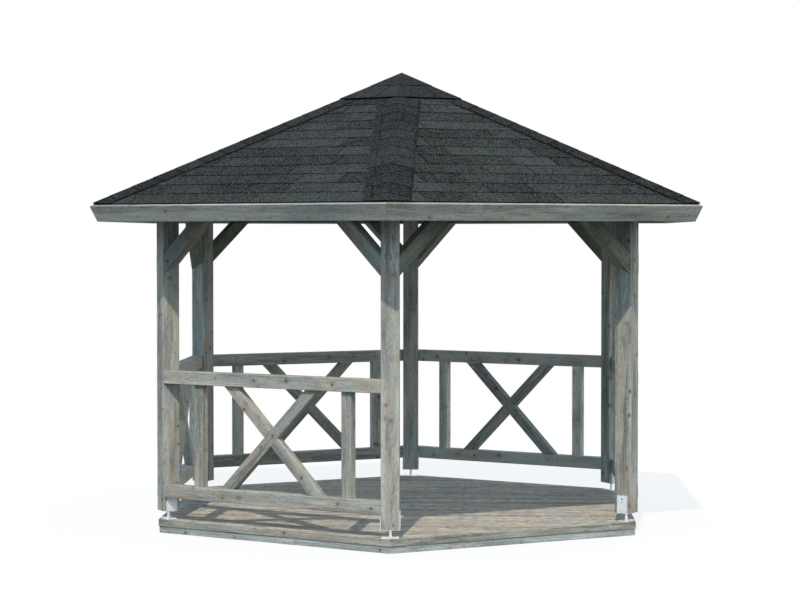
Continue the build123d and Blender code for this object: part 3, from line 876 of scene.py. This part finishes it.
piece("hip_cap_pieces", caps, "shingle", HIP_SHINGLE, "hip_caps", smooth=radians(50))


# Roof cap: two courses of its own over a dark base that is set back --------
CAP_COURSES = 2
CAP_SHEET = 0.0024
CAP_SETBACK = 0.014
CAP_GAP = 0.0002
CAP_SEAT = 0.005  # inside the skin of shingles
CAP_CLEAR = 0.0008  # between the base and the courses

crown = bmesh.new()
keys = layers(crown)
random = Random("roof cap")
exposure = (slope_length - cap_edge) / CAP_COURSES
for side in SIDES:
    for number in range(CAP_COURSES):
        start = cap_edge + number * exposure
        fall = CAP_SHEET + CAP_GAP if number < CAP_COURSES - 1 else 0.0
        shift = random.uniform(0, 1)
        shingle_course(
            crown, keys, side, start, exposure, SKIN + CAP_RISE, CAP_SHEET, fall, CAP_GAP, shift, random
        )
bmesh.ops.dissolve_degenerate(crown, dist=SLIVER, edges=crown.edges)
piece("roof_cap_shingles", crown, "shingle", HIP_SHINGLE, "roof_cap")

base_top = SKIN + CAP_RISE - 2 * CAP_SHEET - CAP_CLEAR
plain_sheets("roof_cap_base", "roof_cap", cap_edge + CAP_SETBACK, CAP_SEAT, base_top, SKIN, 0.0)


# Post shoes --------
deck_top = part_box("deck_boards")[1].z
post_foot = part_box("post_right")[0].z
post_middle = (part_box("post_right")[0].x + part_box("post_right")[1].x) / 2
half_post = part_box("post_right")[1].y
shoe_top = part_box("post_shoes")[1].z
SHOE_PLATE = 0.005
SHOE_WIDTH = 0.075
FOOT_LENGTH = 0.116
FOOT_PLATE = 0.006
FOOT_EASE = 0.0012
ROD_RADIUS = 0.010
ROD_SIDES = 20
THREAD_PITCH = 0.0025
THREAD_DEPTH = 0.0011
THREAD_START = 0.0045  # from the foot plate
THREAD_END = 0.0060  # before the fork
# The weld at each end of the rod: how far beyond the rod, and how far from the plate.
WELD_BEAD = ((-ROD_RADIUS, -0.001), (0.003, -0.001), (0.0022, 0.0022), (-THREAD_DEPTH, 0.0036))
BEND = 0.006
BEND_STEPS = [radians(step) for step in (0, 22.5, 45, 67.5, 90)]
HOLE_RADIUS = 0.0025
HOLE_SIDES = 16
HOLE_COLUMNS = (-0.024, 0.0, 0.024)
HOLE_ROWS = (0.023, 0.046)  # below the top of a cheek
CHEEK = 0.7  # a face turned this far sideways is a cheek's
STEEL_SMOOTH = radians(35)


def shoe_frame(angle):
    """Puts a shoe modelled round the upright axis under the post at this angle."""
    return Matrix.Translation(level(angle) * post_middle) @ Matrix.Rotation(radians(angle), 4, "Z")


def turned(mesh, profile, sides):
    """A closed body of revolution about the upright axis from (radius, height) points."""
    rings = []
    for radius, height in profile:
        if radius == 0:
            rings.append([mesh.verts.new((0, 0, height))])
            continue
        spots = [2 * pi * number / sides for number in range(sides)]
        rings.append([mesh.verts.new((radius * cos(a), radius * sin(a), height)) for a in spots])
    for low, high in zip(rings, rings[1:]):
        for number in range(sides):
            a, b = number - 1, number
            if len(low) == 1:
                mesh.faces.new((low[0], high[b], high[a]))
            elif len(high) == 1:
                mesh.faces.new((low[a], low[b], high[0]))
            else:
                mesh.faces.new((low[a], low[b], high[b], high[a]))
    return [vertex for ring in rings for vertex in ring]


def block(mesh, size, middle, width):
    """A box with rounded edges."""
    place = Matrix.Translation(middle) @ Matrix.Diagonal((*size, 1))
    made = bmesh.ops.create_cube(mesh, size=1.0, matrix=place)
    edges = {edge for vertex in made["verts"] for edge in vertex.link_edges}
    rounded(mesh, list(edges), width)


def strip_line(half, foot, bend):
    """One side of the fork's section: down a cheek, round a bend, along the foot and up again."""
    line = [(-half, shoe_top)]
    line += [(-half + bend - bend * cos(a), foot + bend - bend * sin(a)) for a in BEND_STEPS]
    line += [(half - bend + bend * cos(a), foot + bend - bend * sin(a)) for a in reversed(BEND_STEPS)]
    return line + [(half, shoe_top)]


def fork(mesh):
    """The bent strip that holds a post."""
    outside = strip_line(half_post + SHOE_PLATE, post_foot - SHOE_PLATE, BEND)
    inside = strip_line(half_post, post_foot, BEND - SHOE_PLATE)
    out_a, in_a, out_b, in_b = (
        [mesh.verts.new((x, y, z)) for y, z in line]
        for x in (-SHOE_WIDTH / 2, SHOE_WIDTH / 2)
        for line in (outside, inside)
    )
    for a, b in zip(range(len(out_a) - 1), range(1, len(out_a))):
        mesh.faces.new((out_a[a], out_a[b], out_b[b], out_b[a]))
        mesh.faces.new((in_a[b], in_a[a], in_b[a], in_b[b]))
        mesh.faces.new((out_a[b], out_a[a], in_a[a], in_a[b]))
        mesh.faces.new((out_b[a], out_b[b], in_b[b], in_b[a]))
    for end in (0, -1):
        mesh.faces.new((out_a[end], in_a[end], in_b[end], out_b[end]))


def drilled(mesh, drill):
    """The mesh with the drill's bodies cut out of it."""
    objects = []
    for number, source in enumerate((mesh, drill)):
        bmesh.ops.recalc_face_normals(source, faces=source.faces)
        data = bpy.data.meshes.new(f"drilling_{number}")
        source.to_mesh(data)
        source.free()
        objects.append(bpy.data.objects.new(f"drilling_{number}", data))
        bpy.context.scene.collection.objects.link(objects[-1])
    work, tool = objects
    cut = work.modifiers.new("cut", "BOOLEAN")
    cut.object, cut.operation, cut.solver = tool, "DIFFERENCE", "EXACT"
    after = work.evaluated_get(bpy.context.evaluated_depsgraph_get())
    result = bmesh.new()
    result.from_mesh(bpy.data.meshes.new_from_object(after))
    for used in objects:
        bpy.data.objects.remove(used)
    return result


def nail_holes():
    """Pins right through both cheeks, where the nail holes are."""
    pins = bmesh.new()
    across = Matrix.Rotation(radians(90), 4, "X")
    for x in HOLE_COLUMNS:
        for row in HOLE_ROWS:
            bmesh.ops.create_cone(
                pins,
                cap_ends=True,
                segments=HOLE_SIDES,
                radius1=HOLE_RADIUS,
                radius2=HOLE_RADIUS,
                depth=1.0,
                matrix=Matrix.Translation((x, 0, shoe_top - row)) @ across,
            )
    return pins


def rod(mesh):
    """The threaded rod between foot plate and fork, with a weld at each end."""
    bottom, top = deck_top + FOOT_PLATE, post_foot - SHOE_PLATE
    profile = [(ROD_RADIUS + beyond, bottom + rise) for beyond, rise in WELD_BEAD]
    height = bottom + THREAD_START
    while height < top - THREAD_END:
        profile += [(ROD_RADIUS, height), (ROD_RADIUS - THREAD_DEPTH, height + THREAD_PITCH / 2)]
        height += THREAD_PITCH
    profile += [(ROD_RADIUS + beyond, top - rise) for beyond, rise in reversed(WELD_BEAD)]
    turned(mesh, profile, ROD_SIDES)


bracket = bmesh.new()
fork(bracket)
bracket = drilled(bracket, nail_holes())
keys = layers(bracket)
block(bracket, (SHOE_WIDTH, FOOT_LENGTH, FOOT_PLATE), (0, 0, deck_top + FOOT_PLATE / 2), FOOT_EASE)
rod(bracket)
bracket.normal_update()
for face in bracket.faces:  # cut edges, rods and foot plates keep more of their shine than the cheeks, and are whitened as a painted highlight
    if abs(face.normal.y) < CHEEK or face.calc_center_median().z < post_foot - SHOE_PLATE:
        face[keys["arris"]] = 1.0

shoes = bmesh.new()
layers(shoes)
single = bpy.data.meshes.new("shoe")
bracket.to_mesh(single)
bracket.free()
for angle in CORNERS.values():
    placed = single.copy()
    placed.transform(shoe_frame(angle))
    shoes.from_mesh(placed)
piece("steel_shoes", shoes, "galvanised_steel", STEEL, "post_shoes", smooth=STEEL_SMOOTH)


# Screws and nails --------
HEAD_SIDES = 10
HEAD_SUNK = 0.0006
RECESS = 0.0007
BOARD_SCREW = (0.0042, 0.0006)  # radius, and how far the head stands out
FOOT_SCREW = (0.0062, 0.0022)
CHEEK_RADII = (0.0056, 0.0036)  # in the upper and the lower row of holes
CHEEK_PROUD = {240: 0.0016, 300: 0.0016}
CHEEK_FLUSH = 0.0004
BOARD_SCREWS = (-0.036, 0.036)  # beside the middle of a board
SCREW_STRAY = 0.006
RIM_MARGIN = 0.02
RIM_SCREWS = (-0.72, -0.24, 0.24, 0.72)
FOOT_SCREWS = [(x, y) for x in (-0.024, 0.024) for y in (-0.044, 0.044)]


def fixing(mesh, point, outward, radius, proud):
    """A round head with a round recess, its rim sunk a little into what it holds."""
    profile = [(0, -HEAD_SUNK), (radius, -HEAD_SUNK), (radius, proud * 0.45), (radius * 0.8, proud)]
    profile += [(radius * 0.45, proud), (radius * 0.38, proud - RECESS), (0, proud - RECESS)]
    made = turned(mesh, profile, HEAD_SIDES)
    turn = Vector(outward).to_track_quat("Z", "Y").to_matrix().to_4x4()
    bmesh.ops.transform(mesh, matrix=Matrix.Translation(point) @ turn, verts=made)


def middles(node, line, digits):
    """Where the middles of a node's members lie along this line, each place once."""
    mesh = solids(node)
    groups = islands(mesh)
    found = sorted({round(sum(v.co.dot(line) for v in group) / len(group), digits) for group in groups})
    mesh.free()
    return found


random = Random("fixings")
rim_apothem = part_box("deck_boards")[1].y
board_line, joist_line = level(60), level(150)
board_spots = middles("deck_boards", board_line, 4)
joist_spots = middles("joists", joist_line, 3)

screws = bmesh.new()
layers(screws)
for board in board_spots:
    for joist in joist_spots:
        for offset in BOARD_SCREWS:
            stray = random.uniform(-SCREW_STRAY, SCREW_STRAY)
            spot = board_line * (board + offset) + joist_line * (joist + stray)
            if max(spot.dot(level(angle)) for angle in SIDES.values()) < rim_apothem - RIM_MARGIN:
                fixing(screws, spot + UP * deck_top, UP, *BOARD_SCREW)
for angle in SIDES.values():
    for along in RIM_SCREWS:
        for node in ("edge_boards", "skirt_boards"):
            low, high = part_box(node)
            spot = level(angle) * high.y + level(angle + 90) * along + UP * ((low.z + high.z) / 2)
            fixing(screws, spot, level(angle), *BOARD_SCREW)
piece("deck_screws", screws, "galvanised_steel", OLD_ZINC, smooth=STEEL_SMOOTH)

screws, cheek_screws = bmesh.new(), bmesh.new()
layers(screws)
layers(cheek_screws)
for angle in CORNERS.values():
    place = shoe_frame(angle)
    for x, y in FOOT_SCREWS:
        fixing(screws, place @ Vector((x, y, deck_top + FOOT_PLATE)), UP, *FOOT_SCREW)
    for sign in (-1, 1):
        for row, radius in zip(HOLE_ROWS, CHEEK_RADII):
            spot = place @ Vector((0, sign * (half_post + SHOE_PLATE), shoe_top - row))
            outward = place.to_3x3() @ Vector((0, sign, 0))
            fixing(cheek_screws, spot, outward, radius, CHEEK_PROUD.get(angle, CHEEK_FLUSH))
piece("shoe_screws", screws, "galvanised_steel", STEEL, smooth=STEEL_SMOOTH)
piece("cheek_screws", cheek_screws, "galvanised_steel", OLD_ZINC, smooth=STEEL_SMOOTH)


# Floor --------
FLOOR_RADIUS = 40.0
FLOOR_SIDES = 96
FLOOR_DROP = 0.0005
FLOOR_GLOW = 0.82  # how much of the floor that is seen is plain white near the gazebo
GLOW_GROWS = (3.2, 7.5)  # it rises to all of it between these distances
FLOOR_SEEN = (0.9, 0.9, 0.9, 1)


def looked_at(tree):
    """One for the rays that see the background: the camera's, mirrored and refracted ones."""
    path = tree.nodes.new("ShaderNodeLightPath")
    total = path.outputs["Is Camera Ray"]
    for name in ("Is Glossy Ray", "Is Transmission Ray"):
        adding = tree.nodes.new("ShaderNodeMath")
        adding.operation = "ADD"
        adding.use_clamp = True
        tree.links.new(total, adding.inputs[0])
        tree.links.new(path.outputs[name], adding.inputs[1])
        total = adding.outputs[0]
    return total


def mixed_shader(tree, factor, first, second):
    """The output of a shader that goes from the first to the second as the factor goes from 0 to 1."""
    mix = tree.nodes.new("ShaderNodeMixShader")
    for socket, source in zip(mix.inputs, (factor, first, second)):
        tree.links.new(source, socket)
    return mix.outputs[0]


def floor_material():
    """Pale ground with a light shadow of the gazebo, which throws little light back up at it."""
    r = Recipe("floor", Specular_IOR_Level=0.0, Roughness=1.0)
    tree = r.tree
    place = r.add("TexCoord", {}, "Object")
    ground_colour = r.blend(r.noise(place, 3.0, detail=3.0), rgb(72, 71, 67), rgb(82, 81, 77))
    r.feed(r.shader.inputs["Base Color"], ground_colour)
    far = r.between(r.vector("LENGTH", place), *GLOW_GROWS)
    glow = r.plus(r.times(far, 1.0 - FLOOR_GLOW), FLOOR_GLOW)
    white = tree.nodes.new("ShaderNodeEmission")
    seen = tree.nodes.new("ShaderNodeBsdfDiffuse")
    seen.inputs["Color"].default_value = FLOOR_SEEN
    pale = mixed_shader(tree, glow, seen.outputs[0], white.outputs[0])
    chosen = mixed_shader(tree, looked_at(tree), r.shader.outputs[0], pale)
    tree.links.new(chosen, tree.nodes["Material Output"].inputs[0])
    return r.material


ground = bmesh.new()
bmesh.ops.create_circle(ground, cap_ends=True, segments=FLOOR_SIDES, radius=FLOOR_RADIUS)
data = bpy.data.meshes.new("floor")
ground.to_mesh(data)
ground.free()
floor = bpy.data.objects.new("floor", data)
floor.location.z = -FLOOR_DROP
floor.data.materials.append(floor_material())
bpy.context.scene.collection.objects.link(floor)


# Light --------
def far_lamp(name, azimuth, elevation, energy, spread, colour):
    """A distant lamp that shines from this azimuth and elevation, all in degrees."""
    data = bpy.data.lights.new(name, "SUN")
    data.energy = energy
    data.angle = radians(spread)
    data.color = colour
    lamp = bpy.data.objects.new(name, data)
    towards = level(azimuth) * cos(radians(elevation)) + UP * sin(radians(elevation))
    lamp.rotation_euler = towards.to_track_quat("Z", "Y").to_euler()
    bpy.context.scene.collection.objects.link(lamp)


far_lamp("sun", azimuth=234.3, elevation=52.2, energy=2.47, spread=0.9, colour=(1.0, 0.862, 0.72))
far_lamp("fill", azimuth=310, elevation=10, energy=0.76, spread=70, colour=(1.0, 0.82, 0.54))

SKY_COLOUR = (0.565, 0.785, 0.98, 1)
SKY_STRENGTH = 0.88
world = bpy.data.worlds.new("studio")
bpy.context.scene.world = world
world.use_nodes = True
tree = world.node_tree
soft = tree.nodes["Background"]
white = tree.nodes.new("ShaderNodeBackground")
for node, colour, strength in ((soft, SKY_COLOUR, SKY_STRENGTH), (white, (1, 1, 1, 1), 1.0)):
    node.inputs["Color"].default_value = colour
    node.inputs["Strength"].default_value = strength
sky = mixed_shader(tree, looked_at(tree), soft.outputs[0], white.outputs[0])
tree.links.new(sky, tree.nodes["World Output"].inputs[0])


# Camera --------
CAMERA_PLACE = (-7.382, -14.070, 2.060)
CAMERA_LENS = 97.96
CAMERA_SENSOR = 36.0
CAMERA_SIGHT = 200.0
CAMERA_PITCH = 1.718  # degrees below level
CAMERA_TURN = 0.0457  # degrees to the left of the middle of the gazebo
camera_data = bpy.data.cameras.new("camera")
camera_data.lens = CAMERA_LENS
camera_data.sensor_width = CAMERA_SENSOR
camera_data.clip_end = CAMERA_SIGHT
camera = bpy.data.objects.new("camera", camera_data)
camera.location = CAMERA_PLACE
inward = -Vector(CAMERA_PLACE[:2])
yaw = atan2(-inward.x, inward.y)
camera.rotation_euler = (radians(90 - CAMERA_PITCH), 0, yaw + radians(CAMERA_TURN))
bpy.context.scene.collection.objects.link(camera)
bpy.context.scene.camera = camera
bpy.context.scene.view_settings.view_transform = "Standard"
